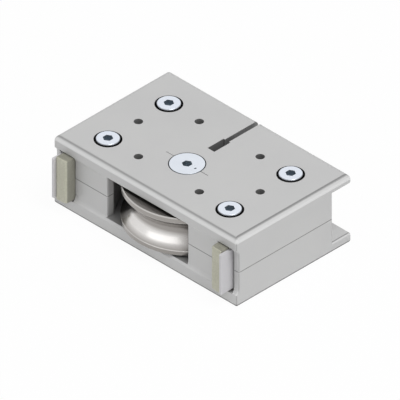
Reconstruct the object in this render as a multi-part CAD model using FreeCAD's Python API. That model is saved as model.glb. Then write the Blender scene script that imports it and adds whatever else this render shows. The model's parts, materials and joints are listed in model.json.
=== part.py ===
"""Roller block for a round guide rod: a split aluminium housing with a grooved ball bearing roller on an
eccentric axle, and a sprung felt pad with a wiper blade at each end.

Units are millimetres. X runs along the guide rod, Y points away from it and Z points up. The origin is the
centre of the four-screw pattern, on the bottom face.
"""

import FreeCAD, Part
import math
import os

from FreeCAD import Vector

# Guide rod and roller
ROD_DIAMETER = 20.0
ROLLER_DIAMETER = 72.0
ROLLER_WIDTH = 23.8
ROD_STANDOFF = 5.0  # from the roller's rim out to the rod's axis
GROOVE_RADIUS = 10.3
GROOVE_EDGE_RADIUS = 0.4
RIM_CHAMFER = 0.6
RING_BORE = 25.0
INNER_RING_WIDTH = 25.8
RING_CHAMFER = 0.5

# Ball rows, cages and shields inside the roller
BALL_DIAMETER = 7.938
BALLS_PER_ROW = 9
PITCH_SHIFT = 0.75  # outwards from half-way between the bore and the groove
ROW_OFFSET = 5.0  # from the roller's middle to each row
LAND_STANDOFF = 2.2  # from the pitch circle to each ring's land
BALL_PLAY = 0.15
CAGE_THICKNESS = 2.0
CAGE_WEB = 1.0
CAGE_GRIP = 1.2  # how far each crown reaches past the ball centres
SHIELD_THICKNESS = 0.8
SHIELD_INSET = 0.6
SHIELD_SEAT = 1.3  # radial depth of the shield's seat in the outer ring
SHIELD_GAP = 0.35

# Eccentric axle
AXLE_DIAMETER = 20.0
AXLE_SETBACK = 9.0  # from the screw pattern's centre towards the rod
ECCENTRICITY = 1.4
AXLE_PROUD = 0.1
AXLE_RECESS = 0.3
AXLE_CHAMFER = 0.6
AXLE_SOCKET_SIZE = 5.0
AXLE_SOCKET_DEPTH = 6.0
INDEX_DOT_OFFSET = 6.0
INDEX_DOT_RADIUS = 0.7
INDEX_DOT_DEPTH = 0.6

# Running clearances
AXLE_PLAY = 0.05
SEAT_PLAY = 0.02
FACE_PLAY = 0.05
ROLLER_ROOM = 1.1  # around the roller at its furthest adjustment

# Housing halves
ROOF_THICKNESS = 8.55
WINDOW_WIDTH = 59.2
JAMB_RADIUS = 0.8
TROUGH_HEIGHT = 28.4
TROUGH_DEPTH = 1.8
TROUGH_RADIUS = 5.0
BACK_WALL = 1.5
FLANGE_DEPTH = 14.0
FLANGE_THICKNESS = 5.7
EDGE_RADIUS = 3.0
BASE_EDGE_RADIUS = 1.5
FLANGE_EDGE_RADIUS = 1.5
CORNER_RADIUS = 1.0
SPLIT_CHAMFER = 0.15

# Hole pattern
GRID = 45.0
TAPPED_RADIUS = 2.5
BASE_TAPPED_RADIUS = 2.1
TAPPED_DEPTH = 6.5
DRILL_POINT_ANGLE = 118.0

# Stepped slot in the upper half
SLOT_WIDTH = 5.0
SLOT_START = 8.6
SLOT_LENGTH = 11.8
SLOT_NECK_WIDTH = 3.0

# Engraved reference lines beside the axle
MARK_LENGTH = 5.4
MARK_WIDTH = 0.5
MARK_DEPTH = 0.3

# Low-head cap screws
SCREW_DIAMETER = 8.0
SCREW_LENGTH = 30.0
SCREW_END_CHAMFER = 1.0
HEAD_DIAMETER = 12.7
HEAD_HEIGHT = 5.0
HEAD_CHAMFER = 0.3
HEAD_PROUD = 0.8
SCREW_SOCKET_SIZE = 5.0
SCREW_SOCKET_DEPTH = 3.0
COUNTERBORE_DIAMETER = 15.2
SCREW_ROOM = 0.5
THREAD_PLAY = 0.03
THREAD_RUNOUT = 2.0

# Dowel pins between the halves
DOWEL_DIAMETER = 6.0
DOWEL_LENGTH = 16.0
DOWEL_CHAMFER = 0.6
DOWEL_OFFSET = 12.0  # from the end screws' axes towards the block's ends
DOWEL_Y = 10.0
DOWEL_END_ROOM = 0.5

# Wiper units
POCKET_OFFSET = 8.2  # from the end screws' axes to the pocket
END_WALL = 3.4
PAD_WIDTH = 7.6
PAD_HEIGHT = 27.6
PAD_STANDOUT = 5.1
PAD_CORNER_RADIUS = 1.9
BLADE_THICKNESS = 1.6
BLADE_HEIGHT = 25.0
BLADE_LEAD = 1.5  # how far the blade stands out past the pad
BLADE_EDGE_RADIUS = 0.5
CHEEK_THICKNESS = 1.3
CHEEK_SETBACK = 0.3  # behind the trough floor
FOOT_THICKNESS = 3.0
FOOT_OVERLAP = 1.3
SHOULDER_DEPTH = 10.0
SHOULDER_PLAY = 0.1
PAD_TRAVEL = 5.0
PAD_PLAY = 0.2
PAD_END_PLAY = 0.5
PEG_DIAMETER = 2.0
PEG_SPACING = 14.0
PEG_SETBACK = 6.5
PEG_TIP_ROOM = 0.4
SPRING_WIDTH = 7.0
SPRING_STRIP = 0.5
SPRING_SPAN = 24.0
SPRING_ROOM = 1.9  # left for the flattened spring at full travel
SPRING_PLAY = 0.1

# Places that follow from the sizes above
OVERLAP = 1.0  # how far a cut runs past the face it opens
NEAR = 0.0001  # what still counts as the same place
CAVITY_HEIGHT = INNER_RING_WIDTH + 2 * FACE_PLAY
BLOCK_HEIGHT = CAVITY_HEIGHT + 2 * ROOF_THICKNESS
MIDDLE_Z = BLOCK_HEIGHT / 2
CEILING_Z = BLOCK_HEIGHT - ROOF_THICKNESS
FLANGE_Z = BLOCK_HEIGHT - FLANGE_THICKNESS
CAVITY_RADIUS = ROLLER_DIAMETER / 2 + ECCENTRICITY + ROLLER_ROOM
AXLE_Y = -AXLE_SETBACK
AXLE_RADIUS = AXLE_DIAMETER / 2
ROLLER_X = ECCENTRICITY
ROD_DISTANCE = ROLLER_DIAMETER / 2 + ROD_STANDOFF
GROOVE_BOTTOM_RADIUS = ROD_DISTANCE - ROD_DIAMETER / 2
FRONT_Y = AXLE_Y - ROD_DISTANCE + ROD_DIAMETER / 2
WALL_Y = AXLE_Y + CAVITY_RADIUS + BACK_WALL
BACK_Y = WALL_Y + FLANGE_DEPTH
POCKET_WIDTH = PAD_PLAY + PAD_WIDTH + BLADE_THICKNESS + CHEEK_THICKNESS + PAD_PLAY
POCKET_X = GRID + POCKET_OFFSET
POCKET_END_X = POCKET_X + POCKET_WIDTH
HALF_LENGTH = POCKET_END_X + END_WALL
SHOULDER_Y = FRONT_Y + SHOULDER_DEPTH
FOOT_Y = SHOULDER_Y + SHOULDER_PLAY
FOOT_BACK_Y = FOOT_Y + FOOT_THICKNESS
POCKET_BACK_Y = FOOT_BACK_Y + PAD_TRAVEL + SPRING_ROOM
PAD_X = POCKET_X + PAD_PLAY
BLADE_X = PAD_X + PAD_WIDTH
CHEEK_X = BLADE_X + BLADE_THICKNESS
CHEEK_END_X = CHEEK_X + CHEEK_THICKNESS
PAD_FRONT_Y = FRONT_Y - PAD_STANDOUT
POCKET_HALF_HEIGHT = PAD_HEIGHT / 2 + PAD_END_PLAY
FOOT_HALF_HEIGHT = POCKET_HALF_HEIGHT + FOOT_OVERLAP
SEAT_Z = BLOCK_HEIGHT + HEAD_PROUD - HEAD_HEIGHT
SCREW_TIP_Z = SEAT_Z - SCREW_LENGTH
BALL_PITCH_RADIUS = (RING_BORE / 2 + GROOVE_BOTTOM_RADIUS) / 2 + PITCH_SHIFT
OUTER_LAND_RADIUS = BALL_PITCH_RADIUS + LAND_STANDOFF
INNER_LAND_RADIUS = BALL_PITCH_RADIUS - LAND_STANDOFF
RACE_RADIUS = BALL_DIAMETER / 2 + BALL_PLAY
SHIELD_Z = ROLLER_WIDTH / 2 - SHIELD_INSET - SHIELD_THICKNESS
SHIELD_SEAT_RADIUS = OUTER_LAND_RADIUS + SHIELD_SEAT
SPLIT_PLANE_POINT = Vector(0, 0, MIDDLE_Z)
UP = Vector(0, 0, 1)
ALONG = Vector(1, 0, 0)


def box(x_low, x_high, y_low, y_high, z_low, z_high):
    """A plain block between two corners."""
    corner = Vector(x_low, y_low, z_low)
    return Part.makeBox(x_high - x_low, y_high - y_low, z_high - z_low, corner)


def upright_cylinder(radius, x, y, z_low, z_high):
    """A cylinder standing along Z."""
    return Part.makeCylinder(radius, z_high - z_low, Vector(x, y, z_low))


def hexagon_prism(size, x, y, z_low, z_high):
    """A hexagonal prism, size across its flats, standing along Z."""
    corner_radius = size / math.sqrt(3)
    corners = []
    for step in range(6):
        angle = math.radians(60 * step + 30)
        across = corner_radius * math.cos(angle)
        along = corner_radius * math.sin(angle)
        corners.append(Vector(x + across, y + along, z_low))
    outline = Part.makePolygon(corners + corners[:1])
    return Part.Face(outline).extrude(Vector(0, 0, z_high - z_low))


def drilled_hole(radius, x, y, z_mouth, depth):
    """The space of a blind hole drilled straight down from its mouth, with a drill point at its end."""
    point_height = radius / math.tan(math.radians(DRILL_POINT_ANGLE / 2))
    bottom = z_mouth - depth
    point = Part.makeCone(0, radius, point_height, Vector(x, y, bottom - point_height))
    return upright_cylinder(radius, x, y, bottom, z_mouth + OVERLAP).fuse(point).removeSplitter()


def edges_where(shape, test):
    """The edges whose middles pass the test. A full circle's middle is its centre."""
    return [edge for edge in shape.Edges if test(edge.CenterOfMass)]


def is_near(value, target):
    return abs(value - target) < NEAR


def mirrored_left(shape):
    """The same piece at the other end of the block."""
    return shape.mirror(Vector(0, 0, 0), ALONG)


def mirrored_down(shape):
    """The same shape in the lower half of the block."""
    return shape.mirror(SPLIT_PLANE_POINT, UP)


def screw_places():
    """The four cap screws, by name."""
    places = {}
    for row, y in (("front", -GRID / 2), ("back", GRID / 2)):
        for side, x in (("left", -GRID), ("right", GRID)):
            places[f"{row}_{side}"] = (x, y)
    return places


def tapped_places():
    """The six tapped holes: four round the middle and one between each end's screws."""
    half = GRID / 2
    return [(-half, -half), (half, -half), (-half, half), (half, half), (-GRID, 0), (GRID, 0)]


def housing_profile():
    """The upper half's outline across the rod: flat-floored trough, front lip, top and back flange."""
    turn = math.acos(1 - TROUGH_DEPTH / TROUGH_RADIUS)
    lip_z = MIDDLE_Z + TROUGH_HEIGHT / 2
    bend_z = lip_z - TROUGH_RADIUS * math.sin(turn)
    floor_y = FRONT_Y + TROUGH_DEPTH
    x = -HALF_LENGTH
    bend = Vector(x, floor_y, bend_z)
    between_y = floor_y - TROUGH_RADIUS * (1 - math.cos(turn / 2))
    between = Vector(x, between_y, bend_z + TROUGH_RADIUS * math.sin(turn / 2))
    lip = Vector(x, FRONT_Y, lip_z)
    corners = [
        lip,
        Vector(x, FRONT_Y, BLOCK_HEIGHT),
        Vector(x, BACK_Y, BLOCK_HEIGHT),
        Vector(x, BACK_Y, FLANGE_Z),
        Vector(x, WALL_Y, FLANGE_Z),
        Vector(x, WALL_Y, MIDDLE_Z),
        Vector(x, floor_y, MIDDLE_Z),
        bend,
    ]
    edges = [Part.Arc(bend, between, lip).toShape()]
    edges += [Part.LineSegment(a, b).toShape() for a, b in zip(corners, corners[1:])]
    return Part.Face(Part.Wire(edges))


def housing_blank(edge_radius):
    """The upper half before anything is cut into it, with its outer edges rounded."""
    blank = housing_profile().extrude(Vector(2 * HALF_LENGTH, 0, 0))
    sides = edges_where(blank, lambda p: MIDDLE_Z + NEAR < p.z < BLOCK_HEIGHT - NEAR)
    flange = [edge for edge in sides if edge.CenterOfMass.y > WALL_Y + NEAR]
    blank = blank.makeFillet(FLANGE_EDGE_RADIUS, flange)
    uprights = edges_where(
        blank,
        lambda p: is_near(abs(p.x), HALF_LENGTH)
        and p.y < WALL_Y + NEAR
        and MIDDLE_Z + NEAR < p.z < BLOCK_HEIGHT - NEAR,
    )
    blank = blank.makeFillet(CORNER_RADIUS, uprights)
    blank = blank.makeFillet(edge_radius, edges_where(blank, lambda p: is_near(p.z, BLOCK_HEIGHT)))
    foot = edges_where(blank, lambda p: is_near(p.z, MIDDLE_Z))
    return blank.makeChamfer(SPLIT_CHAMFER, foot)


def roller_space():
    """The upper half of the round cavity, and the window that opens it to the front."""
    low = MIDDLE_Z - OVERLAP
    cavity = upright_cylinder(CAVITY_RADIUS, 0, AXLE_Y, low, CEILING_Z)
    half = WINDOW_WIDTH / 2
    window = box(-half, half, FRONT_Y - OVERLAP, AXLE_Y, low, CEILING_Z)
    return cavity.fuse(window)


def pocket_space():
    """The upper half of the right-hand pocket: a mouth, and a taller chamber behind its shoulder."""
    low = MIDDLE_Z - OVERLAP
    mouth_top = MIDDLE_Z + POCKET_HALF_HEIGHT
    mouth = box(POCKET_X, POCKET_END_X, FRONT_Y - OVERLAP, SHOULDER_Y + OVERLAP, low, mouth_top)
    chamber_top = MIDDLE_Z + FOOT_HALF_HEIGHT + PAD_END_PLAY
    chamber = box(POCKET_X, POCKET_END_X, SHOULDER_Y, POCKET_BACK_Y, low, chamber_top)
    return mouth.fuse(chamber)


def dowel_places():
    x = GRID + DOWEL_OFFSET
    return {"left": (-x, DOWEL_Y), "right": (x, DOWEL_Y)}


def tapped_holes(radius):
    return [drilled_hole(radius, x, y, BLOCK_HEIGHT, TAPPED_DEPTH) for x, y in tapped_places()]


def housing_half(edge_radius):
    """What both halves share, made as the upper one."""
    half = housing_blank(edge_radius)
    half = half.cut([roller_space(), pocket_space(), mirrored_left(pocket_space())])
    jambs = edges_where(
        half,
        lambda p: is_near(abs(p.x), WINDOW_WIDTH / 2) and is_near(p.y, FRONT_Y + TROUGH_DEPTH),
    )
    half = half.makeFillet(JAMB_RADIUS, jambs)
    cuts = [upright_cylinder(AXLE_RADIUS + AXLE_PLAY, 0, AXLE_Y, MIDDLE_Z, BLOCK_HEIGHT + OVERLAP)]
    reach = MIDDLE_Z + DOWEL_LENGTH / 2 + DOWEL_END_ROOM
    for x, y in dowel_places().values():
        cuts.append(upright_cylinder(DOWEL_DIAMETER / 2 + SEAT_PLAY, x, y, MIDDLE_Z - OVERLAP, reach))
    return half.cut(cuts)


def slot_space():
    """The stepped slot through the roof: wide over the roller, narrow from there out through the back."""
    low = CEILING_Z - OVERLAP
    high = BLOCK_HEIGHT + OVERLAP
    step_y = SLOT_START + SLOT_LENGTH
    wide = box(-SLOT_WIDTH / 2, SLOT_WIDTH / 2, SLOT_START, step_y, low, high)
    half_neck = SLOT_NECK_WIDTH / 2
    neck = box(-half_neck, half_neck, step_y - OVERLAP, BACK_Y + OVERLAP, CEILING_Z, high)
    return wide.fuse(neck)


def reference_marks():
    """Two engraved lines in the top, one on each side of the axle, square to the rod's pull."""
    start = AXLE_RADIUS
    low = BLOCK_HEIGHT - MARK_DEPTH
    front = AXLE_Y - MARK_WIDTH / 2
    right = box(start, start + MARK_LENGTH, front, front + MARK_WIDTH, low, BLOCK_HEIGHT + OVERLAP)
    return [right, mirrored_left(right)]


def upper_housing():
    cuts = [slot_space()] + reference_marks() + tapped_holes(TAPPED_RADIUS)
    low = MIDDLE_Z - OVERLAP
    for x, y in screw_places().values():
        cuts.append(upright_cylinder(COUNTERBORE_DIAMETER / 2, x, y, SEAT_Z, BLOCK_HEIGHT + OVERLAP))
        cuts.append(upright_cylinder(SCREW_DIAMETER / 2 + SCREW_ROOM, x, y, low, BLOCK_HEIGHT))
    return housing_half(EDGE_RADIUS).cut(cuts)


def lower_housing():
    depth = MIDDLE_Z - SCREW_TIP_Z + THREAD_RUNOUT
    radius = SCREW_DIAMETER / 2 + THREAD_PLAY
    holes = [drilled_hole(radius, x, y, MIDDLE_Z, depth) for x, y in screw_places().values()]
    half = housing_half(BASE_EDGE_RADIUS).cut(tapped_holes(BASE_TAPPED_RADIUS))
    half = mirrored_down(half)
    return half.cut(holes)


def eccentric_axle():
    """Round ends that turn in the housing, and an offset journal between them that carries the roller."""
    top = BLOCK_HEIGHT + AXLE_PROUD
    ends = upright_cylinder(AXLE_RADIUS, 0, AXLE_Y, AXLE_RECESS, top)
    rims = edges_where(ends, lambda p: is_near(p.z, AXLE_RECESS) or is_near(p.z, top))
    ends = ends.makeChamfer(AXLE_CHAMFER, rims)
    low = MIDDLE_Z - INNER_RING_WIDTH / 2
    high = MIDDLE_Z + INNER_RING_WIDTH / 2
    journal = upright_cylinder(RING_BORE / 2, ROLLER_X, AXLE_Y, low, high)
    socket = hexagon_prism(AXLE_SOCKET_SIZE, 0, AXLE_Y, top - AXLE_SOCKET_DEPTH, top + OVERLAP)
    dot_base = Vector(INDEX_DOT_OFFSET, AXLE_Y, top - INDEX_DOT_DEPTH)
    dot = Part.makeCone(0, INDEX_DOT_RADIUS, INDEX_DOT_DEPTH, dot_base)
    return ends.fuse(journal).cut([socket, dot])


def ring_arc(radius_sign, row_z):
    """One race in a ring's section: the arc that a ball row runs in, from low to high."""
    land = BALL_PITCH_RADIUS + radius_sign * LAND_STANDOFF
    half = math.sqrt(RACE_RADIUS**2 - LAND_STANDOFF**2)
    low = Vector(land, 0, row_z - half)
    deepest = Vector(BALL_PITCH_RADIUS + radius_sign * RACE_RADIUS, 0, row_z)
    high = Vector(land, 0, row_z + half)
    return low, deepest, high


def race_edges(radius_sign, start, end):
    """A ring's raced side from its lower to its upper end, as edges in the section plane."""
    edges = []
    last = start
    for row_z in (-ROW_OFFSET, ROW_OFFSET):
        low, deepest, high = ring_arc(radius_sign, row_z)
        edges.append(Part.LineSegment(last, low).toShape())
        edges.append(Part.Arc(low, deepest, high).toShape())
        last = high
    edges.append(Part.LineSegment(last, end).toShape())
    return edges


def line_edges(*points):
    return [Part.LineSegment(a, b).toShape() for a, b in zip(points, points[1:])]


def revolved(edges):
    """A ring about the Z axis from its closed section."""
    section = Part.Face(Part.Wire(Part.__sortEdges__(edges)))
    return section.revolve(Vector(0, 0, 0), UP, 360)


def on_roller_axis(shape):
    """The same piece, moved from the Z axis to the roller's place."""
    placed = shape.copy()
    placed.translate(Vector(ROLLER_X, AXLE_Y, MIDDLE_Z))
    return placed


def roller_outer_ring():
    """The grooved roller: rod groove outside, two ball races inside and a shield seat at each end."""
    half = ROLLER_WIDTH / 2
    rim = ROLLER_DIAMETER / 2
    groove_centre = GROOVE_BOTTOM_RADIUS + GROOVE_RADIUS
    groove_half = math.sqrt(GROOVE_RADIUS**2 - (groove_centre - rim) ** 2)
    seat = SHIELD_SEAT_RADIUS
    outside = line_edges(
        Vector(OUTER_LAND_RADIUS, 0, -SHIELD_Z),
        Vector(seat, 0, -SHIELD_Z),
        Vector(seat, 0, -half),
        Vector(rim - RIM_CHAMFER, 0, -half),
        Vector(rim, 0, -half + RIM_CHAMFER),
        Vector(rim, 0, -groove_half),
    )
    bottom = Vector(GROOVE_BOTTOM_RADIUS, 0, 0)
    outside.append(Part.Arc(Vector(rim, 0, -groove_half), bottom, Vector(rim, 0, groove_half)).toShape())
    outside += line_edges(
        Vector(rim, 0, groove_half),
        Vector(rim, 0, half - RIM_CHAMFER),
        Vector(rim - RIM_CHAMFER, 0, half),
        Vector(seat, 0, half),
        Vector(seat, 0, SHIELD_Z),
        Vector(OUTER_LAND_RADIUS, 0, SHIELD_Z),
    )
    inside = race_edges(1, Vector(OUTER_LAND_RADIUS, 0, -SHIELD_Z), Vector(OUTER_LAND_RADIUS, 0, SHIELD_Z))
    ring = revolved(outside + inside)
    groove_rims = edges_where(ring, lambda p: is_near(abs(p.z), groove_half))
    return on_roller_axis(ring.makeFillet(GROOVE_EDGE_RADIUS, groove_rims))


def roller_inner_ring():
    half = INNER_RING_WIDTH / 2
    bore = RING_BORE / 2 + SEAT_PLAY
    land = INNER_LAND_RADIUS
    low_corner = Vector(land, 0, -half + RING_CHAMFER)
    high_corner = Vector(land, 0, half - RING_CHAMFER)
    inside = line_edges(
        low_corner,
        Vector(land - RING_CHAMFER, 0, -half),
        Vector(bore, 0, -half),
        Vector(bore, 0, half),
        Vector(land - RING_CHAMFER, 0, half),
        high_corner,
    )
    return on_roller_axis(revolved(inside + race_edges(-1, low_corner, high_corner)))


def ball_angles():
    return [360.0 * step / BALLS_PER_ROW for step in range(BALLS_PER_ROW)]


def ball_row(side):
    """One row of balls, above or below the roller's middle."""
    balls = []
    for angle in ball_angles():
        ball = Part.makeSphere(BALL_DIAMETER / 2)
        ball.translate(Vector(BALL_PITCH_RADIUS, 0, side * ROW_OFFSET))
        ball.rotate(Vector(0, 0, 0), UP, angle)
        balls.append(on_roller_axis(ball))
    return Part.makeCompound(balls)


def ball_cage(side):
    """A crown cage: a ring outside its row, with open pockets that reach in between the balls."""
    outer = BALL_PITCH_RADIUS + CAGE_THICKNESS / 2
    inner = BALL_PITCH_RADIUS - CAGE_THICKNESS / 2
    low = ROW_OFFSET - CAGE_GRIP
    high = ROW_OFFSET + RACE_RADIUS + CAGE_WEB
    cage = upright_cylinder(outer, 0, 0, low, high).cut(upright_cylinder(inner, 0, 0, low, high))
    pockets = []
    for angle in ball_angles():
        start = Vector(inner - CAGE_THICKNESS / 2, 0, ROW_OFFSET)
        pocket = Part.makeCylinder(RACE_RADIUS, 2 * CAGE_THICKNESS, start, ALONG)
        pocket.rotate(Vector(0, 0, 0), UP, angle)
        pockets.append(pocket)
    cage = cage.cut(pockets)
    if side < 0:
        cage = cage.mirror(Vector(0, 0, 0), UP)
    return on_roller_axis(cage)


def shield(side):
    """A thin ring that closes the roller's end and turns with it."""
    inner = INNER_LAND_RADIUS + SHIELD_GAP
    low = SHIELD_Z
    high = SHIELD_Z + SHIELD_THICKNESS
    ring = upright_cylinder(SHIELD_SEAT_RADIUS - SEAT_PLAY, 0, 0, low, high)
    ring = ring.cut(upright_cylinder(inner, 0, 0, low - OVERLAP, high + OVERLAP))
    if side < 0:
        ring = ring.mirror(Vector(0, 0, 0), UP)
    return on_roller_axis(ring)


def cap_screw(x, y):
    """A low-head cap screw with a chamfered rim and a hexagon socket."""
    top = SEAT_Z + HEAD_HEIGHT
    head = upright_cylinder(HEAD_DIAMETER / 2, x, y, SEAT_Z, top)
    head = head.makeChamfer(HEAD_CHAMFER, edges_where(head, lambda p: is_near(p.z, top)))
    shank = upright_cylinder(SCREW_DIAMETER / 2, x, y, SCREW_TIP_Z, SEAT_Z)
    shank = shank.makeChamfer(SCREW_END_CHAMFER, edges_where(shank, lambda p: is_near(p.z, SCREW_TIP_Z)))
    socket = hexagon_prism(SCREW_SOCKET_SIZE, x, y, top - SCREW_SOCKET_DEPTH, top + OVERLAP)
    return head.fuse(shank).cut(socket)


def dowel_pin(x, y):
    half = DOWEL_LENGTH / 2
    pin = upright_cylinder(DOWEL_DIAMETER / 2, x, y, MIDDLE_Z - half, MIDDLE_Z + half)
    return pin.makeChamfer(DOWEL_CHAMFER, edges_where(pin, lambda p: is_near(abs(p.z - MIDDLE_Z), half)))


def peg_holes(radius, x_low, x_high):
    """Rods along X at the two places where the carrier's pegs hold the pad and the blade."""
    rods = []
    for side in (-1, 1):
        start = Vector(x_low, FRONT_Y + PEG_SETBACK, MIDDLE_Z + side * PEG_SPACING / 2)
        rods.append(Part.makeCylinder(radius, x_high - x_low, start, ALONG))
    return rods


def felt_pad():
    """The oiled felt block of the right-hand unit, its inner front edge rounded."""
    half = PAD_HEIGHT / 2
    pad = box(PAD_X, BLADE_X, PAD_FRONT_Y, FOOT_Y, MIDDLE_Z - half, MIDDLE_Z + half)
    front_inner = edges_where(pad, lambda p: is_near(p.x, PAD_X) and is_near(p.y, PAD_FRONT_Y))
    pad = pad.makeFillet(PAD_CORNER_RADIUS, front_inner)
    return pad.cut(peg_holes(PEG_DIAMETER / 2 + SEAT_PLAY, PAD_X - OVERLAP, BLADE_X + OVERLAP))


def wiper_blade():
    """The thin blade on the pad's outer side, with a rounded wiping edge."""
    half = BLADE_HEIGHT / 2
    front = PAD_FRONT_Y - BLADE_LEAD
    blade = box(BLADE_X, CHEEK_X, front, FOOT_Y, MIDDLE_Z - half, MIDDLE_Z + half)
    blade = blade.makeFillet(BLADE_EDGE_RADIUS, edges_where(blade, lambda p: is_near(p.y, front)))
    return blade.cut(peg_holes(PEG_DIAMETER / 2 + SEAT_PLAY, BLADE_X - OVERLAP, CHEEK_X + OVERLAP))


def pad_carrier():
    """The sliding holder: a foot trapped behind the pocket's shoulder, a cheek and two pegs."""
    foot = box(
        PAD_X,
        CHEEK_END_X,
        FOOT_Y,
        FOOT_BACK_Y,
        MIDDLE_Z - FOOT_HALF_HEIGHT,
        MIDDLE_Z + FOOT_HALF_HEIGHT,
    )
    half = BLADE_HEIGHT / 2
    front = FRONT_Y + TROUGH_DEPTH + CHEEK_SETBACK
    cheek = box(CHEEK_X, CHEEK_END_X, front, FOOT_BACK_Y, MIDDLE_Z - half, MIDDLE_Z + half)
    pegs = peg_holes(PEG_DIAMETER / 2, PAD_X + PEG_TIP_ROOM, CHEEK_END_X)
    return foot.fuse([cheek] + pegs).removeSplitter()


def pad_spring():
    """A bowed leaf between the pocket's back wall and the carrier's foot."""
    half = SPRING_SPAN / 2
    rise = POCKET_BACK_Y - FOOT_BACK_Y - 2 * SPRING_PLAY
    back = POCKET_BACK_Y - SPRING_PLAY
    middle_x = (PAD_X + CHEEK_END_X) / 2
    x = middle_x - SPRING_WIDTH / 2
    crown = Vector(x, back - rise, MIDDLE_Z)
    inner_crown = Vector(x, back - rise + SPRING_STRIP, MIDDLE_Z)
    outer_ends = [Vector(x, back, MIDDLE_Z + side * half) for side in (-1, 1)]
    inner_ends = [Vector(x, back, MIDDLE_Z + side * (half - SPRING_STRIP)) for side in (-1, 1)]
    edges = [
        Part.Arc(outer_ends[0], crown, outer_ends[1]).toShape(),
        Part.LineSegment(outer_ends[1], inner_ends[1]).toShape(),
        Part.Arc(inner_ends[1], inner_crown, inner_ends[0]).toShape(),
        Part.LineSegment(inner_ends[0], outer_ends[0]).toShape(),
    ]
    return Part.Face(Part.Wire(edges)).extrude(Vector(SPRING_WIDTH, 0, 0))


def all_parts():
    """Every piece of the block, by its node's name."""
    parts = {
        "upper_housing": upper_housing(),
        "lower_housing": lower_housing(),
        "eccentric_axle": eccentric_axle(),
        "roller_outer_ring": roller_outer_ring(),
        "roller_inner_ring": roller_inner_ring(),
    }
    for name, side in (("upper", 1), ("lower", -1)):
        parts[f"ball_row_{name}"] = ball_row(side)
        parts[f"ball_cage_{name}"] = ball_cage(side)
        parts[f"shield_{name}"] = shield(side)
    for place, (x, y) in screw_places().items():
        parts[f"cap_screw_{place}"] = cap_screw(x, y)
    for side, (x, y) in dowel_places().items():
        parts[f"dowel_pin_{side}"] = dowel_pin(x, y)
    for name, make in (
        ("felt_pad", felt_pad),
        ("wiper_blade", wiper_blade),
        ("pad_carrier", pad_carrier),
        ("pad_spring", pad_spring),
    ):
        parts[f"{name}_right"] = make()
        parts[f"{name}_left"] = mirrored_left(make())
    return parts


os.makedirs("parts", exist_ok=True)
for node, shape in all_parts().items():
    shape.exportStep(f"parts/{node}.step")
    print(node, "valid" if shape.isValid() else "NOT VALID", len(shape.Solids), round(shape.Volume, 1))
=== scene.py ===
"""Looks of a guide rod roller block: satin aluminium halves, a polished grooved roller, felt wipers."""

import json
import math

import bmesh
import bpy
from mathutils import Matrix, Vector, noise


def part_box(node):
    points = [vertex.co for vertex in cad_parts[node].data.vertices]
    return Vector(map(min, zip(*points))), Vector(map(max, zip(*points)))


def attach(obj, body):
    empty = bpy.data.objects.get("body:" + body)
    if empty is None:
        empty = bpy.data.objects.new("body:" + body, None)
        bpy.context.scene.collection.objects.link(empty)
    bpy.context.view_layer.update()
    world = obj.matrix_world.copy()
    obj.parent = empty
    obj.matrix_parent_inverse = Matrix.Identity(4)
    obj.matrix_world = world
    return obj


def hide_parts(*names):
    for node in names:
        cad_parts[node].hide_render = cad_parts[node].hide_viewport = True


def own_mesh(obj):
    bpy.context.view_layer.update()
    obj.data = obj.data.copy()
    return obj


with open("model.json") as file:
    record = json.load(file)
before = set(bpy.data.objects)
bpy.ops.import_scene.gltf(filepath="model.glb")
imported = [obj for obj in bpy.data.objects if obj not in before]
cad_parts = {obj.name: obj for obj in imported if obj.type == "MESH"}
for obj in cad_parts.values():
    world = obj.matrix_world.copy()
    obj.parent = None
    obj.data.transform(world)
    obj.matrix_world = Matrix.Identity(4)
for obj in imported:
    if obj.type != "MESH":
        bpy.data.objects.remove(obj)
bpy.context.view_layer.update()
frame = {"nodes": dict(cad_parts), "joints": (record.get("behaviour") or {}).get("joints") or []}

# Sizes and places, in metres, in the frame's own axes
MM = 0.001
NODES = frame["nodes"]
SIDES = ("left", "right")
ROLLER_LOW, ROLLER_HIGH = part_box("roller_outer_ring")
ROLLER_CENTRE = (ROLLER_LOW + ROLLER_HIGH) / 2
AXLE_JOINT = next(joint for joint in frame["joints"] if joint["name"] == "eccentric_adjust")
AXLE_CENTRE = Vector(AXLE_JOINT["pos_m"])
BLOCK_LOW, BLOCK_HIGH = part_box("upper_housing")

# Painted highlights in the roller's groove: a lighter track where the rod runs, polished by the rod and a
# painted highlight, and thin bands on the rim chamfers and groove edges
TRACK_DROP = 4.4 * MM
TRACK_HALF_WIDTH = 4.4 * MM
RIM_CHAMFER = 0.6 * MM
GROOVE_HALF_WIDTH = 8.85 * MM
GROOVE_EDGE = 0.3 * MM

# Felt pads
FELT_STEP = 0.45 * MM
FELT_ROUNDING = 0.6 * MM
FELT_FRONT_ROUNDING = 1.6 * MM
FELT_FRONT_REACH = 4.0 * MM
FELT_INNER_REACH = 3.3 * MM
FELT_FUZZ = 0.10 * MM
FELT_FUZZ_PARTS = ((2200.0, 0.6), (5200.0, 0.4))
FELT_SWELL = 0.12 * MM
FELT_SWELL_SCALE = 160.0
LEAST_MOVE = 1e-9

# Camera: an even isometric look at the block's front and right-hand end
VIEW_AZIMUTH = 45.0
VIEW_ELEVATION = 35.26
VIEW_WIDTH = 0.2090
VIEW_TARGET = Vector((6.53, -6.02, 21.5)) * MM
CAMERA_DISTANCE = 0.8

# Light
SKY_STRENGTH = 0.37
BACKGROUND_STRENGTH = 1.0
PANEL_DISTANCE = 3.6
KEY_POWER = 70.5
KEY_SIZE = (1.5, 1.5)
KEY_DIRECTION = (0.195, 0.0, 0.42)
FRONT_POWER = 19.8
FRONT_DIRECTION = (-0.03, -0.95, 0.26)
FRONT_SIZE = (3.9, 3.3)
FLOOR_SIZE = 6.0
FLOOR_GLOW = 0.96
FLOOR_DROP = 0.1 * MM

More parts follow.
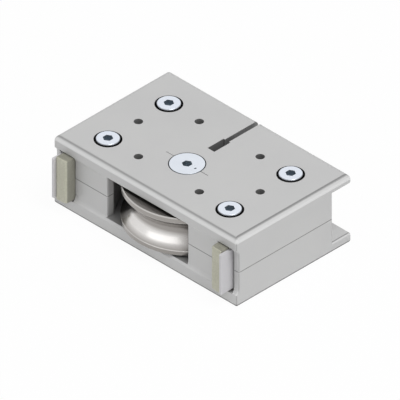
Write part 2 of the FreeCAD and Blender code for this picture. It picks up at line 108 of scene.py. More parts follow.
# Heights in the finishes
SPLIT_Z = (BLOCK_LOW.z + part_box("lower_housing")[1].z) / 2
SPLIT_LINE = 0.17 * MM
SCREW_TOP_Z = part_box("cap_screw_front_left")[1].z
AXLE_TOP_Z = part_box("eccentric_axle")[1].z
FACE_SKIN = 0.08 * MM
HEAD_SIDE = 0.75 * MM
SOCKET_REACH = 3.1 * MM
AXLE_SOCKET_REACH = 4.0 * MM

# Holes, slot and cavity of the housing, as far as the finishes need them
TOP_Z = BLOCK_HIGH.z
SCREW_X, SCREW_Y, _ = (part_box("cap_screw_back_right")[0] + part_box("cap_screw_back_right")[1]) / 2
COUNTERBORE_REACH = 7.7 * MM
TAPPED_REACH = 2.6 * MM
SLOT_REACH = 2.6 * MM
SLOT_START_Y = 8.5 * MM
SLOT_DEPTH = 9.0 * MM
CAVITY_REACH = 38.65 * MM
ROOF_THICKNESS = 8.55 * MM
FOOT_ROUND = 1.6 * MM
TOP_ROUND = 3.1 * MM
POCKET_START_X = 55.0 * MM
POCKET_SHELTER = 0.55

# How near another face has to be to keep the light off, and from how little open sky to how much
HOUSING_SHELTER = (4.5 * MM, 0.16, 0.58)
ROLLER_SHELTER = (30.0 * MM, 0.50, 0.84)
RIM_SHELTER = (6.0 * MM, 0.30, 0.75)

# Bands on the rounded edges: the upright part of the normal where each starts, is full, and ends. The start
# bands carry a painted shade line, the rim band a painted highlight
END_START = (0.80, 0.94, 0.99, 0.9999)
FRONT_START = (0.70, 0.90, 0.93, 0.999)
RIM_BAND = (0.0, 0.13, 0.36, 0.80)

# Greys laid over the aluminium: mask, strength and grey, in this order. Start, Corner and Foot are painted
# shade, Rim and Crest painted highlights, Split the dark joint line
EDGE_SHADES_HIGHLIGHTS_AND_SPLIT = (
    ("Start", 0.75, 0.15),
    ("Rim", 0.74, 0.83),
    ("Crest", 0.3, 0.82),
    ("Corner", 0.7, 0.30),
    ("Foot", 0.9, 0.07),
    ("Split", 0.85, 0.16),
)
# Painted shade where other faces keep the light off
SHELTER_SHADE_GREY = (0.75, 0.08)
# Painted shade inside the housing's cavity, slot, tapped holes and counterbores
HOLLOW_SHADE_GREYS = (
    ("Cavity", 0.85, 0.28),
    ("Slot", 0.8, 0.13),
    ("Tapped", 0.9, 0.22),
    ("Counterbores", 0.95, 0.008),
)

# Colours that vary: the darkest and the lightest
ALUMINIUM = ((0.570, 0.570, 0.570, 1), (0.590, 0.590, 0.587, 1))
ROLLER_GROUND = ((0.30, 0.285, 0.268, 1), (0.39, 0.37, 0.352, 1))
RING_GROUND = ((0.42, 0.42, 0.42, 1), (0.6, 0.6, 0.6, 1))
TURNED_ZINC = ((0.66, 0.70, 0.76, 1), (0.78, 0.82, 0.88, 1))
ZINC_PLATE = ((0.72, 0.77, 0.86, 1), (0.82, 0.86, 0.93, 1))
FELT = ((0.46, 0.455, 0.355, 1), (0.70, 0.692, 0.58, 1))
BALL_STEEL = ((0.6, 0.6, 0.62, 1), (0.8, 0.8, 0.82, 1))
CAGE_POLYAMIDE = ((0.42, 0.36, 0.24, 1), (0.55, 0.48, 0.34, 1))
SEAL_RUBBER = ((0.015, 0.015, 0.015, 1), (0.04, 0.04, 0.04, 1))
WIPER_PLASTIC = ((0.60, 0.59, 0.61, 1), (0.67, 0.66, 0.68, 1))
CARRIER_PLASTIC = ((0.20, 0.20, 0.20, 1), (0.27, 0.27, 0.27, 1))
SPRING_STEEL = ((0.3, 0.3, 0.32, 1), (0.45, 0.45, 0.48, 1))

# Colours of single places
# Painted highlight on the roller's track, which the rod also polishes
ROLLER_TRACK_HIGHLIGHT = (0.77, 0.753, 0.737, 1)
# Painted shade on the roller where little light reaches it
ROLLER_SHADED = (0.20, 0.186, 0.176, 1)
# Painted highlight on the roller's rim chamfers and groove edges
ROLLER_RIM_HIGHLIGHT = (0.56, 0.545, 0.53, 1)
# Painted shade below the axle's top face, outside and inside its socket
AXLE_RIM_SHADE = (0.07, 0.08, 0.09, 1)
AXLE_SOCKET_SHADE = (0.45, 0.505, 0.545, 1)
# Painted shade on the screw heads: their sunk side, the gap below it and the socket
HEAD_RIM_SHADE = (0.42, 0.44, 0.48, 1)
HEAD_GAP_SHADE = (0.01, 0.01, 0.01, 1)
HEAD_SOCKET_SHADE = (0.22, 0.265, 0.31, 1)
FELT_OILED = (0.46, 0.45, 0.34, 1)
# Painted shade on the felt's faces that don't face the front
FELT_SIDE_SHADE = (0.17, 0.165, 0.135, 1)
FLOOR_WHITE = (0.93, 0.93, 0.93, 1)
WHITE = (1, 1, 1, 1)

# The part of its range that a noise really uses
NOISE_SPAN = (0.3, 0.7)
CLOUD_SPAN = (0.35, 0.65)

# How deep the finishes' reliefs are, and how far the felt's strands wander
GRAIN_DEPTH = 0.05 * MM
RING_DEPTH = 0.03 * MM
FIBRE_DEPTH = 0.2 * MM
FIBRE_BEND = (2.0 * MM, 2.0 * MM, 2.0 * MM)


def new_group(name, inputs, outputs):
    """An empty shader node group with named sockets. Each input is (name, kind, default)."""
    group = bpy.data.node_groups.new(name, "ShaderNodeTree")
    for socket, kind, default in inputs:
        made = group.interface.new_socket(socket, in_out="INPUT", socket_type=kind)
        if default is not None:
            made.default_value = default
    for socket, kind in outputs:
        group.interface.new_socket(socket, in_out="OUTPUT", socket_type=kind)
    start = group.nodes.new("NodeGroupInput")
    end = group.nodes.new("NodeGroupOutput")
    return group, start, end


def mask_sockets(greys):
    """A group's outputs for the masks that greys are laid over."""
    return [(name, "NodeSocketFloat") for name, _, _ in greys]


def put_out(group, end, masks):
    """Links each result to the group's output of its name."""
    for name, mask in masks.items():
        group.links.new(mask, end.inputs[name])


def set_input(tree, socket, value):
    """Links a socket to an input, or sets the input to a plain value."""
    if isinstance(value, bpy.types.NodeSocket):
        tree.links.new(value, socket)
    else:
        socket.default_value = value


def add_node(tree, kind, settings=None, **inputs):
    """A node with its settings and inputs. An input named _0 or _1 is found by its number."""
    node = tree.nodes.new(kind)
    for name, value in (settings or {}).items():
        setattr(node, name, value)
    for name, value in inputs.items():
        number = name[1:]
        key = int(number) if number.isdigit() else name.replace("_", " ")
        set_input(tree, node.inputs[key], value)
    return node


def maths(tree, operation, *values):
    """The result socket of one Math node."""
    node = tree.nodes.new("ShaderNodeMath")
    node.operation = operation
    for socket, value in zip(node.inputs, values):
        set_input(tree, socket, value)
    return node.outputs[0]


def product(tree, *values):
    """All values multiplied with each other."""
    total = values[0]
    for value in values[1:]:
        total = maths(tree, "MULTIPLY", total, value)
    return total


def distance(tree, value, middle):
    """How far a value lies from a middle, to either side."""
    return maths(tree, "ABSOLUTE", maths(tree, "SUBTRACT", value, middle))


def remap(tree, value, low, high, to_low, to_high):
    """A value taken from one range into another, held at its ends."""
    node = add_node(tree, "ShaderNodeMapRange", {"clamp": True}, Value=value)
    node.inputs["From Min"].default_value = low
    node.inputs["From Max"].default_value = high
    node.inputs["To Min"].default_value = to_low
    node.inputs["To Max"].default_value = to_high
    return node.outputs["Result"]


def band(tree, value, start, full, ebb, end):
    """0 up to the start, 1 from full to ebb, and 0 again from the end."""
    return product(tree, remap(tree, value, ebb, end, 1.0, 0.0), remap(tree, value, start, full, 0.0, 1.0))


def mix_colours(tree, amount, first, second):
    """A second colour over a first one. In a Mix node the colours are inputs 6 and 7 and output 2."""
    node = tree.nodes.new("ShaderNodeMix")
    node.data_type = "RGBA"
    for number, value in ((0, amount), (6, first), (7, second)):
        set_input(tree, node.inputs[number], value)
    return node.outputs[2]


def object_point(tree):
    """The place on the piece, in metres."""
    return tree.nodes.new("ShaderNodeTexCoord").outputs["Object"]


def axes(tree, output="Object"):
    """X, Y and Z of the place on the piece, or of its normal."""
    place = tree.nodes.new("ShaderNodeTexCoord").outputs[output]
    parts = add_node(tree, "ShaderNodeSeparateXYZ", Vector=place)
    return [parts.outputs[axis] for axis in ("X", "Y", "Z")]


def bumped(tree, height, strength, depth):
    """The surface normal over a relief."""
    bump = add_node(tree, "ShaderNodeBump", Strength=strength, Distance=depth, Height=height)
    return bump.outputs["Normal"]


def grain_group():
    """Fine blasted or moulded grain: a mask that varies and a matching surface normal."""
    group, start, end = new_group(
        "fine grain",
        [("Scale", "NodeSocketFloat", 2500.0), ("Height", "NodeSocketFloat", 0.1)],
        [("Mask", "NodeSocketFloat"), ("Normal", "NodeSocketVector")],
    )
    scale, height = start.outputs["Scale"], start.outputs["Height"]
    fine = add_node(group, "ShaderNodeTexNoise", Vector=object_point(group), Scale=scale, Detail=3.0)
    grain = fine.outputs["Fac"]
    put_out(group, end, {"Mask": grain, "Normal": bumped(group, grain, height, GRAIN_DEPTH)})
    return group


def handling_group():
    """Broad faint clouds, as of handling and uneven finish, from 0 to 1."""
    group, start, end = new_group(
        "handling clouds", [("Scale", "NodeSocketFloat", 30.0)], [("Mask", "NodeSocketFloat")]
    )
    scale = start.outputs["Scale"]
    broad = add_node(group, "ShaderNodeTexNoise", Vector=object_point(group), Scale=scale, Detail=5.0)
    put_out(group, end, {"Mask": remap(group, broad.outputs["Fac"], *CLOUD_SPAN, 0.0, 1.0)})
    return group


def edge_group():
    """Masks over a squared block: painted shade at its top round's start, its upright corners and its foot,
    painted highlights on the rim band and crests, and the dark split line.
    """
    group, _, end = new_group("rounded edges", [], mask_sockets(EDGE_SHADES_HIGHLIGHTS_AND_SPLIT))
    height = axes(group)[2]
    x, y, z = axes(group, "Normal")
    wide, long, top = (maths(group, "ABSOLUTE", part) for part in (x, y, z))
    largest = maths(group, "MAXIMUM", maths(group, "MAXIMUM", wide, long), top)
    to_front = remap(group, y, 0.0, -0.05, 0.0, 0.85)
    to_end = remap(group, x, 0.0, 0.06, 0.1, 1.0)
    start_front = product(group, band(group, top, *FRONT_START), to_front)
    start_end = product(group, band(group, top, *END_START), to_end)
    high_up = remap(group, height, TOP_Z - TOP_ROUND, TOP_Z - TOP_ROUND + FACE_SKIN, 0.0, 1.0)
    lower_down = maths(group, "SUBTRACT", 1.0, high_up)
    from_split = distance(group, height, SPLIT_Z)
    off_split = remap(group, from_split, 2 * SPLIT_LINE, 5 * SPLIT_LINE, 0.0, 1.0)
    rounded = product(group, remap(group, largest, 0.97, 0.75, 0.0, 1.0), off_split)
    tilted = remap(group, top, 0.1, 0.4, 0.0, 1.0)
    upright = maths(group, "SUBTRACT", 1.0, tilted)
    downward = remap(group, z, 0.0, -0.12, 0.0, 1.0)
    off_base = remap(group, z, -0.95, -0.80, 0.0, 1.0)
    low_down = remap(group, height, FOOT_ROUND, FOOT_ROUND - FACE_SKIN, 0.0, 1.0)
    # Start, Corner and Foot are painted shade; Rim and Crest are painted highlights; Split is the joint line
    masks = {
        "Start": maths(group, "MAXIMUM", start_front, start_end),
        "Rim": product(group, band(group, top, *RIM_BAND), high_up),
        "Crest": product(group, rounded, tilted, lower_down),
        "Corner": product(group, rounded, upright),
        "Foot": product(group, downward, off_base, low_down),
        "Split": remap(group, from_split, SPLIT_LINE, 1.6 * SPLIT_LINE, 1.0, 0.0),
    }
    put_out(group, end, masks)
    return group


def distance_within(tree, x, y, reach):
    """1 where the point (x, y) lies within a reach of the axis at zero."""
    flat = add_node(tree, "ShaderNodeCombineXYZ", X=x, Y=y)
    away = add_node(tree, "ShaderNodeVectorMath", {"operation": "LENGTH"}, _0=flat.outputs[0])
    return remap(tree, away.outputs["Value"], reach, reach + FACE_SKIN, 1.0, 0.0)


def from_screws(tree):
    """X and Y from the nearest screw's axis. The four screws lie evenly about the block's middle."""
    x, y, _ = axes(tree)
    from_x = maths(tree, "SUBTRACT", maths(tree, "ABSOLUTE", x), SCREW_X)
    from_y = maths(tree, "SUBTRACT", maths(tree, "ABSOLUTE", y), SCREW_Y)
    return from_x, from_y


def machining_group():
    """Masks for painted shade over the housing: inside its counterbores, tapped holes and slot, and on its
    cavity's wall and floor.
    """
    group, _, end = new_group("machined hollows", [], mask_sockets(HOLLOW_SHADE_GREYS))
    x, y, z = axes(group)
    wide = maths(group, "ABSOLUTE", x)
    slope = maths(group, "ABSOLUTE", axes(group, "Normal")[2])
    inside = remap(group, z, TOP_Z - 2 * FACE_SKIN, TOP_Z - FACE_SKIN, 1.0, 0.0)
    screw_x, screw_y = from_screws(group)
    bores = distance_within(group, screw_x, screw_y, COUNTERBORE_REACH)
    halfway = maths(group, "SUBTRACT", wide, SCREW_X / 2)
    middle_holes = distance_within(group, halfway, screw_y, TAPPED_REACH)
    outer_holes = distance_within(group, screw_x, y, TAPPED_REACH)
    tapped = maths(group, "MAXIMUM", middle_holes, outer_holes)
    across = remap(group, wide, SLOT_REACH, SLOT_REACH + FACE_SKIN, 1.0, 0.0)
    along = remap(group, y, SLOT_START_Y - FACE_SKIN, SLOT_START_Y, 0.0, 1.0)
    above = remap(group, z, TOP_Z - SLOT_DEPTH, TOP_Z - SLOT_DEPTH + FACE_SKIN, 0.0, 1.0)
    half_height = TOP_Z - ROOF_THICKNESS - SPLIT_Z
    from_middle = distance(group, z, SPLIT_Z)
    round_wall = distance_within(group, x, maths(group, "SUBTRACT", y, AXLE_CENTRE.y), CAVITY_REACH)
    upright = remap(group, slope, 0.3, 0.5, 1.0, 0.0)
    between = remap(group, from_middle, half_height, half_height + FACE_SKIN, 1.0, 0.0)
    off_floor = distance(group, from_middle, half_height)
    floor = remap(group, off_floor, FACE_SKIN, 2 * FACE_SKIN, 1.0, 0.0)
    level = remap(group, slope, 0.5, 0.9, 0.0, 0.7)
    wall = product(group, round_wall, upright, between)
    masks = {
        "Cavity": maths(group, "MAXIMUM", wall, product(group, floor, level)),
        "Slot": product(group, across, along, above, inside),
        "Tapped": product(group, tapped, inside),
        "Counterbores": product(group, bores, inside),
    }
    put_out(group, end, masks)
    return group


def turning_group():
    """Fine lathe rings about an upright axis: a mask and a matching surface normal."""
    group, start, end = new_group(
        "lathe rings",
        [
            ("Centre", "NodeSocketVector", None),
            ("Pitch", "NodeSocketFloat", 4000.0),
            ("Height", "NodeSocketFloat", 0.1),
        ],
        [("Mask", "NodeSocketFloat"), ("Normal", "NodeSocketVector")],
    )
    centre, pitch, height = (start.outputs[name] for name in ("Centre", "Pitch", "Height"))
    point = object_point(group)
    offset = add_node(group, "ShaderNodeVectorMath", {"operation": "SUBTRACT"}, _0=point, _1=centre)
    parts = add_node(group, "ShaderNodeSeparateXYZ", Vector=offset.outputs[0])
    flat = add_node(group, "ShaderNodeCombineXYZ", X=parts.outputs["X"], Y=parts.outputs["Y"])
    radius = add_node(group, "ShaderNodeVectorMath", {"operation": "LENGTH"}, _0=flat.outputs[0])
    along = maths(group, "ADD", radius.outputs["Value"], parts.outputs["Z"])
    place = product(group, along, pitch)
    lines = add_node(group, "ShaderNodeTexNoise", {"noise_dimensions": "1D"}, W=place, Scale=1.0, Detail=2.0)
    rings = lines.outputs["Fac"]
    put_out(group, end, {"Mask": rings, "Normal": bumped(group, rings, height, RING_DEPTH)})
    return group


def fibre_group():
    """Matted short fibres: a colour mask and a matching surface normal."""
    group, start, end = new_group(
        "matted fibres",
        [("Scale", "NodeSocketFloat", 1200.0), ("Height", "NodeSocketFloat", 0.6)],
        [("Mask", "NodeSocketFloat"), ("Normal", "NodeSocketVector")],
    )
    scale, height = start.outputs["Scale"], start.outputs["Height"]
    point = object_point(group)
    bend = add_node(group, "ShaderNodeTexNoise", Vector=point, Scale=400.0, Detail=2.0).outputs["Color"]
    shift = {"operation": "MULTIPLY_ADD"}
    bent = add_node(group, "ShaderNodeVectorMath", shift, _0=bend, _1=FIBRE_BEND, _2=point).outputs[0]
    to_edges = {"feature": "DISTANCE_TO_EDGE"}
    strands = add_node(group, "ShaderNodeTexVoronoi", to_edges, Vector=bent, Scale=scale)
    thin = remap(group, strands.outputs["Distance"], 0.0, 0.22, 1.0, 0.0)
    fluff = add_node(group, "ShaderNodeTexNoise", Vector=point, Scale=2600.0, Detail=4.0)
    both = maths(group, "MULTIPLY_ADD", thin, 0.5, product(group, fluff.outputs["Fac"], 0.5))
    put_out(group, end, {"Mask": both, "Normal": bumped(group, both, height, FIBRE_DEPTH)})
    return group


GRAIN = grain_group()
HANDLING = handling_group()
EDGES = edge_group()
MACHINING = machining_group()
TURNING = turning_group()
FIBRES = fibre_group()


def place_group(tree, group, **inputs):
    """One use of a shared effect in a material."""
    node = tree.nodes.new("ShaderNodeGroup")
    node.node_tree = group
    for name, value in inputs.items():
        node.inputs[name].default_value = value
    return node


def new_material(name, **settings):
    """A material, its tree and its Principled shader, with the settings that are even all over."""
    material = bpy.data.materials.new(name)
    material.use_nodes = True
    tree = material.node_tree
    shader = tree.nodes["Principled BSDF"]
    for socket, value in settings.items():
        shader.inputs[socket.replace("_", " ")].default_value = value
    return material, tree, shader


def sheltered(tree, shelter):
    """How far a place lies inside a hole, a gap or a corner, from 0 in the open to 1, by ambient occlusion:
    the mask for painted shade.
    """
    reach, low, high = shelter
    open_sky = add_node(tree, "ShaderNodeAmbientOcclusion", {"samples": 8}, Distance=reach).outputs["AO"]
    return remap(tree, open_sky, low, high, 1.0, 0.0)


def below(tree, height):
    """1 below a height and 0 above it."""
    return remap(tree, axes(tree)[2], height - FACE_SKIN, height, 1.0, 0.0)


def link_relief(tree, shader, effect, rough):
    """An effect's normal, and the roughness from one value to another over its mask."""
    tree.links.new(effect.outputs["Normal"], shader.inputs["Normal"])
    tree.links.new(remap(tree, effect.outputs["Mask"], *NOISE_SPAN, *rough), shader.inputs["Roughness"])


def link_grain(tree, shader, scale, height, rough):
    """Grain that carries the surface normal and the roughness."""
    grain = place_group(tree, GRAIN, Scale=scale, Height=height)
    link_relief(tree, shader, grain, rough)
    return grain


def anodised_aluminium():
    """Natural anodised aluminium: satin grain, faint clouds, painted highlights and painted shade on the
    edge rounds, painted shade in hollows and gaps.
    """
    material, tree, shader = new_material("anodised aluminium", Metallic=0.2)
    link_grain(tree, shader, scale=3200.0, height=0.08, rough=(0.40, 0.50))
    clouds = place_group(tree, HANDLING, Scale=24.0)
    edges = place_group(tree, EDGES)
    hollows = place_group(tree, MACHINING)
    x, _, z = axes(tree)
    from_middle = maths(tree, "ABSOLUTE", x)
    near_pads = remap(tree, from_middle, POCKET_START_X, POCKET_START_X + MM, 1.0, POCKET_SHELTER)
    off_floor = remap(tree, z, FACE_SKIN, 2 * FACE_SKIN, 0.0, 1.0)
    # Painted shade where little open sky reaches, weaker in the pad pockets and none on the bottom face
    shelter = product(tree, sheltered(tree, HOUSING_SHELTER), near_pads, off_floor)
    layers = [(edges.outputs[name], strength, grey) for name, strength, grey in EDGE_SHADES_HIGHLIGHTS_AND_SPLIT]
    layers.append((shelter, *SHELTER_SHADE_GREY))
    layers += [(hollows.outputs[name], strength, grey) for name, strength, grey in HOLLOW_SHADE_GREYS]
    colour = mix_colours(tree, clouds.outputs["Mask"], *ALUMINIUM)
    for mask, strength, grey in layers:
        colour = mix_colours(tree, product(tree, mask, strength), colour, (grey, grey, grey, 1))
    tree.links.new(colour, shader.inputs["Base Color"])
    return material


def turned_metal(name, colours, centre, pitch, height, rough, socket_z=None):
    """Lathe-turned metal about an upright axis, with painted shade below its socket's mouth."""
    material, tree, shader = new_material(name, Metallic=1.0)
    rings = place_group(tree, TURNING, Centre=centre, Pitch=pitch, Height=height)
    clouds = place_group(tree, HANDLING, Scale=60.0)
    cloudy = product(tree, clouds.outputs["Mask"], 0.4)
    both = maths(tree, "MULTIPLY_ADD", rings.outputs["Mask"], 0.6, cloudy)
    colour = mix_colours(tree, both, *colours)
    if socket_z is not None:
        # Painted shade below the top face: near black outside the socket, grey inside it
        x, y, _ = axes(tree)
        from_x = maths(tree, "SUBTRACT", x, centre[0])
        from_y = maths(tree, "SUBTRACT", y, centre[1])
        in_socket = distance_within(tree, from_x, from_y, AXLE_SOCKET_REACH)
        socket_shade = mix_colours(tree, in_socket, AXLE_RIM_SHADE, AXLE_SOCKET_SHADE)
        colour = mix_colours(tree, below(tree, socket_z), colour, socket_shade)
    tree.links.new(colour, shader.inputs["Base Color"])
    link_relief(tree, shader, rings, rough)
    return material


def polished_roller(centre):
    """Ground steel: a lighter track in the groove where the rod runs, polished by the rod and a painted
    highlight, painted highlights on the rim chamfers and groove edges, and painted shade where little light
    comes.
    """
    material, tree, shader = new_material("polished roller", Metallic=1.0)
    rings = place_group(tree, TURNING, Centre=centre, Pitch=5200.0, Height=0.004)
    height = axes(tree)[2]
    # A lighter band where the rod runs: polished by the rod, and a painted highlight
    from_track = distance(tree, height, centre[2] - TRACK_DROP)
    track = remap(tree, from_track, TRACK_HALF_WIDTH, 0.4 * TRACK_HALF_WIDTH, 0.0, 1.0)
    ground = mix_colours(tree, rings.outputs["Mask"], *ROLLER_GROUND)
    track_highlight = mix_colours(tree, track, ground, ROLLER_TRACK_HIGHLIGHT)
    slope = maths(tree, "ABSOLUTE", axes(tree, "Normal")[2])
    on_slope = remap(tree, slope, 0.95, 0.85, 0.0, 1.0)
    # Painted shade where little light reaches, deep in the housing and near other faces
    deep = product(tree, sheltered(tree, ROLLER_SHELTER), on_slope, 0.75)
    close = product(tree, sheltered(tree, RIM_SHELTER), 0.3)
    shaded = mix_colours(tree, maths(tree, "MAXIMUM", deep, close), track_highlight, ROLLER_SHADED)
    from_middle = distance(tree, height, centre[2])
    # Painted highlights on the rim chamfers and along the groove's edges
    chamfer_start = ROLLER_HIGH.z - centre[2] - RIM_CHAMFER
    at_rim = remap(tree, from_middle, chamfer_start, chamfer_start + FACE_SKIN, 0.0, 0.7)
    rim = product(tree, at_rim, on_slope)
    from_edge = distance(tree, from_middle, GROOVE_HALF_WIDTH)
    edge = remap(tree, from_edge, 0.5 * GROOVE_EDGE, GROOVE_EDGE, 0.7, 0.0)
    bright = mix_colours(tree, maths(tree, "MAXIMUM", rim, edge), shaded, ROLLER_RIM_HIGHLIGHT)
    tree.links.new(bright, shader.inputs["Base Color"])
    link_relief(tree, shader, rings, rough=(0.18, 0.26))
    return material


def plated_steel():
    """Blue-white zinc plate with a faint grain, with painted shade on the head's side below its rim, black
    lower down, and in its socket.
    """
    material, tree, shader = new_material("blue white zinc", Metallic=0.6)
    grain = link_grain(tree, shader, scale=1800.0, height=0.08, rough=(0.28, 0.40))
    colour = mix_colours(tree, grain.outputs["Mask"], *ZINC_PLATE)
    # Painted shade below the head's top face and in its socket
    sunk = below(tree, SCREW_TOP_Z)
    side = mix_colours(tree, sunk, colour, HEAD_RIM_SHADE)
    gap = mix_colours(tree, below(tree, SCREW_TOP_Z - HEAD_SIDE), side, HEAD_GAP_SHADE)
    near_axis = distance_within(tree, *from_screws(tree), SOCKET_REACH)
    socket_shade = mix_colours(tree, product(tree, sunk, near_axis), gap, HEAD_SOCKET_SHADE)
    tree.links.new(socket_shade, shader.inputs["Base Color"])
    return material


def moulded(name, colours, scale, height, rough, **settings):
    """Moulded plastic or rubber, or plain steel, with a fine grain."""
    material, tree, shader = new_material(name, **settings)
    grain = link_grain(tree, shader, scale, height, rough)
    tree.links.new(mix_colours(tree, grain.outputs["Mask"], *colours), shader.inputs["Base Color"])
    return material


def oiled_felt():
    """Pressed wool felt: matted fibres, soft sheen, darker where the oil has drawn in, and painted shade on
    the faces that don't face the front.
    """
    material, tree, shader = new_material(
        "oiled felt", Sheen_Weight=0.25, Sheen_Roughness=0.5, Roughness=0.92
    )
    fibres = place_group(tree, FIBRES, Scale=1300.0, Height=0.55)
    clouds = place_group(tree, HANDLING, Scale=140.0)
    plain = mix_colours(tree, fibres.outputs["Mask"], *FELT)
    oiled = mix_colours(tree, product(tree, clouds.outputs["Mask"], 0.22), plain, FELT_OILED)
    # Painted shade on every face but the front
    facing = axes(tree, "Normal")[1]
    side_shade = product(tree, remap(tree, facing, -0.55, -0.1, 0.0, 1.0), 0.72)
    stained_and_shaded = mix_colours(tree, side_shade, oiled, FELT_SIDE_SHADE)
    tree.links.new(stained_and_shaded, shader.inputs["Base Color"])
    tree.links.new(fibres.outputs["Normal"], shader.inputs["Normal"])
    return material


def steel_and_plated_finishes():
    """The finishes of the metal pieces, by the start of their nodes' names."""
    aluminium = anodised_aluminium()
    zinc = plated_steel()
    roller_centre = tuple(ROLLER_CENTRE)
    ring = turned_metal(
        "ground steel", RING_GROUND, roller_centre, pitch=5200.0, height=0.08, rough=(0.22, 0.34)
    )
    axle = turned_metal(
        "turned zinc",
        TURNED_ZINC,
        tuple(AXLE_CENTRE),
        pitch=2600.0,
        height=0.05,
        rough=(0.34, 0.46),
        socket_z=AXLE_TOP_Z,
    )
    return {
        "upper_housing": aluminium,
        "lower_housing": aluminium,
        "eccentric_axle": axle,
        "roller_outer_ring": polished_roller(roller_centre),
        "roller_inner_ring": ring,
        "dowel_pin": ring,
        "ball_row": moulded(
            "ball steel", BALL_STEEL, scale=900.0, height=0.02, rough=(0.08, 0.14), Metallic=1.0
        ),
        "cap_screw": zinc,
        "pad_spring": moulded(
            "spring steel", SPRING_STEEL, scale=1200.0, height=0.05, rough=(0.25, 0.4), Metallic=1.0
        ),
    }


def plastic_and_felt_finishes():
    """The finishes of the other pieces, by the start of their nodes' names."""
    return {
        "ball_cage": moulded("cage polyamide", CAGE_POLYAMIDE, scale=1500.0, height=0.15, rough=(0.5, 0.65)),
        "shield": moulded("seal rubber", SEAL_RUBBER, scale=2500.0, height=0.2, rough=(0.55, 0.75)),
        "wiper_blade": moulded("wiper plastic", WIPER_PLASTIC, scale=2200.0, height=0.05, rough=(0.36, 0.5)),
        "pad_carrier": moulded(
            "carrier plastic", CARRIER_PLASTIC, scale=2200.0, height=0.2, rough=(0.5, 0.65)
        ),
        "felt_pad": oiled_felt(),
    }


def finish_nodes():
    """Gives every CAD node its finish and shades its round faces smoothly."""
    by_start = {**steel_and_plated_finishes(), **plastic_and_felt_finishes()}
    for name, node in NODES.items():
        material = next(made for start, made in by_start.items() if name.startswith(start))
        node.data.materials.clear()
        node.data.materials.append(material)
        node.data.shade_smooth()
    return by_start


def rounded_point(point, low, high, rounding):
    """A point of a box's skin, drawn in where the box has rounded edges."""
    inner = Vector([min(max(value, a + rounding), b - rounding) for value, a, b in zip(point, low, high)])
    away = point - inner
    return inner + away.normalized() * rounding if away.length > LEAST_MOVE else point


def fine_box(low, high):
    """A box of small even faces."""
    mesh = bmesh.new()
    bmesh.ops.create_cube(mesh, size=1.0)
    centre = (low + high) / 2
    size = high - low
    for vertex in mesh.verts:
        vertex.co = centre + Vector([a * b for a, b in zip(vertex.co, size)])
    for axis in range(3):
        cuts = max(2, int(size[axis] / FELT_STEP) - 1)
        for step in range(1, cuts + 1):
            place = centre.copy()
            place[axis] = low[axis] + size[axis] * step / (cuts + 1)
            direction = Vector([1.0 if other == axis else 0.0 for other in range(3)])
            everything = mesh.verts[:] + mesh.edges[:] + mesh.faces[:]
            bmesh.ops.bisect_plane(mesh, geom=everything, plane_co=place, plane_no=direction)
    return mesh


def felt_block(side):
    """One felt pad as a soft, slightly swollen block with a fuzzy skin, in its solid's place."""
    low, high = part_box(f"felt_pad_{side}")
    mesh = fine_box(low, high)
    inner_x = low.x if side == "right" else high.x
    for vertex in mesh.verts:
        point = vertex.co.copy()
        front = max(0.0, 1.0 - (point.y - low.y) / FELT_FRONT_REACH)
        near_inner = max(0.0, 1.0 - abs(point.x - inner_x) / FELT_INNER_REACH)
        rounding = FELT_ROUNDING + (FELT_FRONT_ROUNDING - FELT_ROUNDING) * front * near_inner
        vertex.co = rounded_point(point, low, high, rounding)
    mesh.normal_update()
    moves = []
    for vertex in mesh.verts:
        fuzz = sum(noise.noise(vertex.co * scale) * share for scale, share in FELT_FUZZ_PARTS)
        slow = noise.noise(vertex.co * FELT_SWELL_SCALE)
        moves.append(vertex.normal * (FELT_FUZZ * fuzz + FELT_SWELL * slow - FELT_SWELL))
    for vertex, move in zip(mesh.verts, moves):
        vertex.co += move
    data = bpy.data.meshes.new(f"felt_block_{side}")
    mesh.to_mesh(data)
    mesh.free()
    data.shade_smooth()
    piece = bpy.data.objects.new(f"felt_block_{side}", data)
    bpy.context.scene.collection.objects.link(piece)
    return piece


def leaf_spring(side):
    """A copy of the bowed leaf."""
    piece = bpy.data.objects.new(f"bowed_leaf_{side}", NODES[f"pad_spring_{side}"].data.copy())
    bpy.context.scene.collection.objects.link(piece)
    return piece


def add_soft_pieces(finishes):
    """The felt and the springs, each in the place of its plain solid."""
    for side in SIDES:
        felt = felt_block(side)
        felt.data.materials.append(finishes["felt_pad"])
        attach(felt, f"{side}_wiper")
        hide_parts(f"felt_pad_{side}")
        spring = leaf_spring(side)
        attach(spring, "housing")
        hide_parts(f"pad_spring_{side}")
        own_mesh(spring)


def seen_rays(tree):
    """1 for rays from the camera and for reflections, and the Light Path node."""
    ray = tree.nodes.new("ShaderNodeLightPath")
    return maths(tree, "MAXIMUM", ray.outputs["Is Camera Ray"], ray.outputs["Is Glossy Ray"]), ray


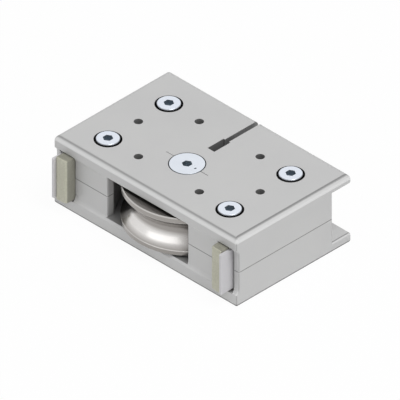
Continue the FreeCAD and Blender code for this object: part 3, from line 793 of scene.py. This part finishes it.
def pale_floor():
    """A white floor that keeps a faint shadow and looks as bright as the background."""
    bpy.ops.mesh.primitive_plane_add(size=FLOOR_SIZE, location=(0, 0, -FLOOR_DROP))
    floor = bpy.context.object
    floor.name = "floor"
    material, tree, shader = new_material("pale floor", Base_Color=FLOOR_WHITE, Roughness=0.9)
    glow = add_node(tree, "ShaderNodeEmission", Color=WHITE, Strength=BACKGROUND_STRENGTH)
    seen, _ = seen_rays(tree)
    mix = tree.nodes.new("ShaderNodeMixShader")
    parts = (product(tree, seen, FLOOR_GLOW), shader.outputs[0], glow.outputs[0])
    for socket, part in zip(mix.inputs, parts):
        tree.links.new(part, socket)
    tree.links.new(mix.outputs[0], tree.nodes["Material Output"].inputs["Surface"])
    floor.data.materials.append(material)


def white_world():
    """Even sky light, with a plain white background for the camera and for reflections."""
    world = bpy.data.worlds.new("studio")
    bpy.context.scene.world = world
    world.use_nodes = True
    tree = world.node_tree
    sky = tree.nodes["Background"]
    sky.inputs["Color"].default_value = WHITE
    seen, ray = seen_rays(tree)
    seen = maths(tree, "MAXIMUM", seen, ray.outputs["Is Transmission Ray"])
    tree.links.new(remap(tree, seen, 0.0, 1.0, SKY_STRENGTH, BACKGROUND_STRENGTH), sky.inputs["Strength"])


def light_panel(name, direction, power, size):
    """A soft light that faces the block, so wide and so high."""
    data = bpy.data.lights.new(name, "AREA")
    data.energy = power
    data.shape = "RECTANGLE"
    data.size, data.size_y = size
    lamp = bpy.data.objects.new(name, data)
    lamp.location = VIEW_TARGET + Vector(direction).normalized() * PANEL_DISTANCE
    lamp.rotation_euler = Vector(direction).to_track_quat("Z", "Y").to_euler()
    bpy.context.scene.collection.objects.link(lamp)


def isometric_camera():
    """The camera at the photograph's viewing angle, without perspective."""
    data = bpy.data.cameras.new("camera")
    data.type = "ORTHO"
    data.ortho_scale = VIEW_WIDTH
    camera = bpy.data.objects.new("camera", data)
    azimuth = math.radians(VIEW_AZIMUTH)
    elevation = math.radians(VIEW_ELEVATION)
    away = Vector(
        (
            math.sin(azimuth) * math.cos(elevation),
            -math.cos(azimuth) * math.cos(elevation),
            math.sin(elevation),
        )
    )
    camera.location = VIEW_TARGET + away * CAMERA_DISTANCE
    camera.rotation_euler = away.to_track_quat("Z", "Y").to_euler()
    bpy.context.scene.collection.objects.link(camera)
    bpy.context.scene.camera = camera


add_soft_pieces(finish_nodes())
pale_floor()
white_world()
light_panel("key panel", KEY_DIRECTION, KEY_POWER, KEY_SIZE)
light_panel("front panel", FRONT_DIRECTION, FRONT_POWER, FRONT_SIZE)
isometric_camera()
bpy.context.scene.view_settings.view_transform = "Standard"
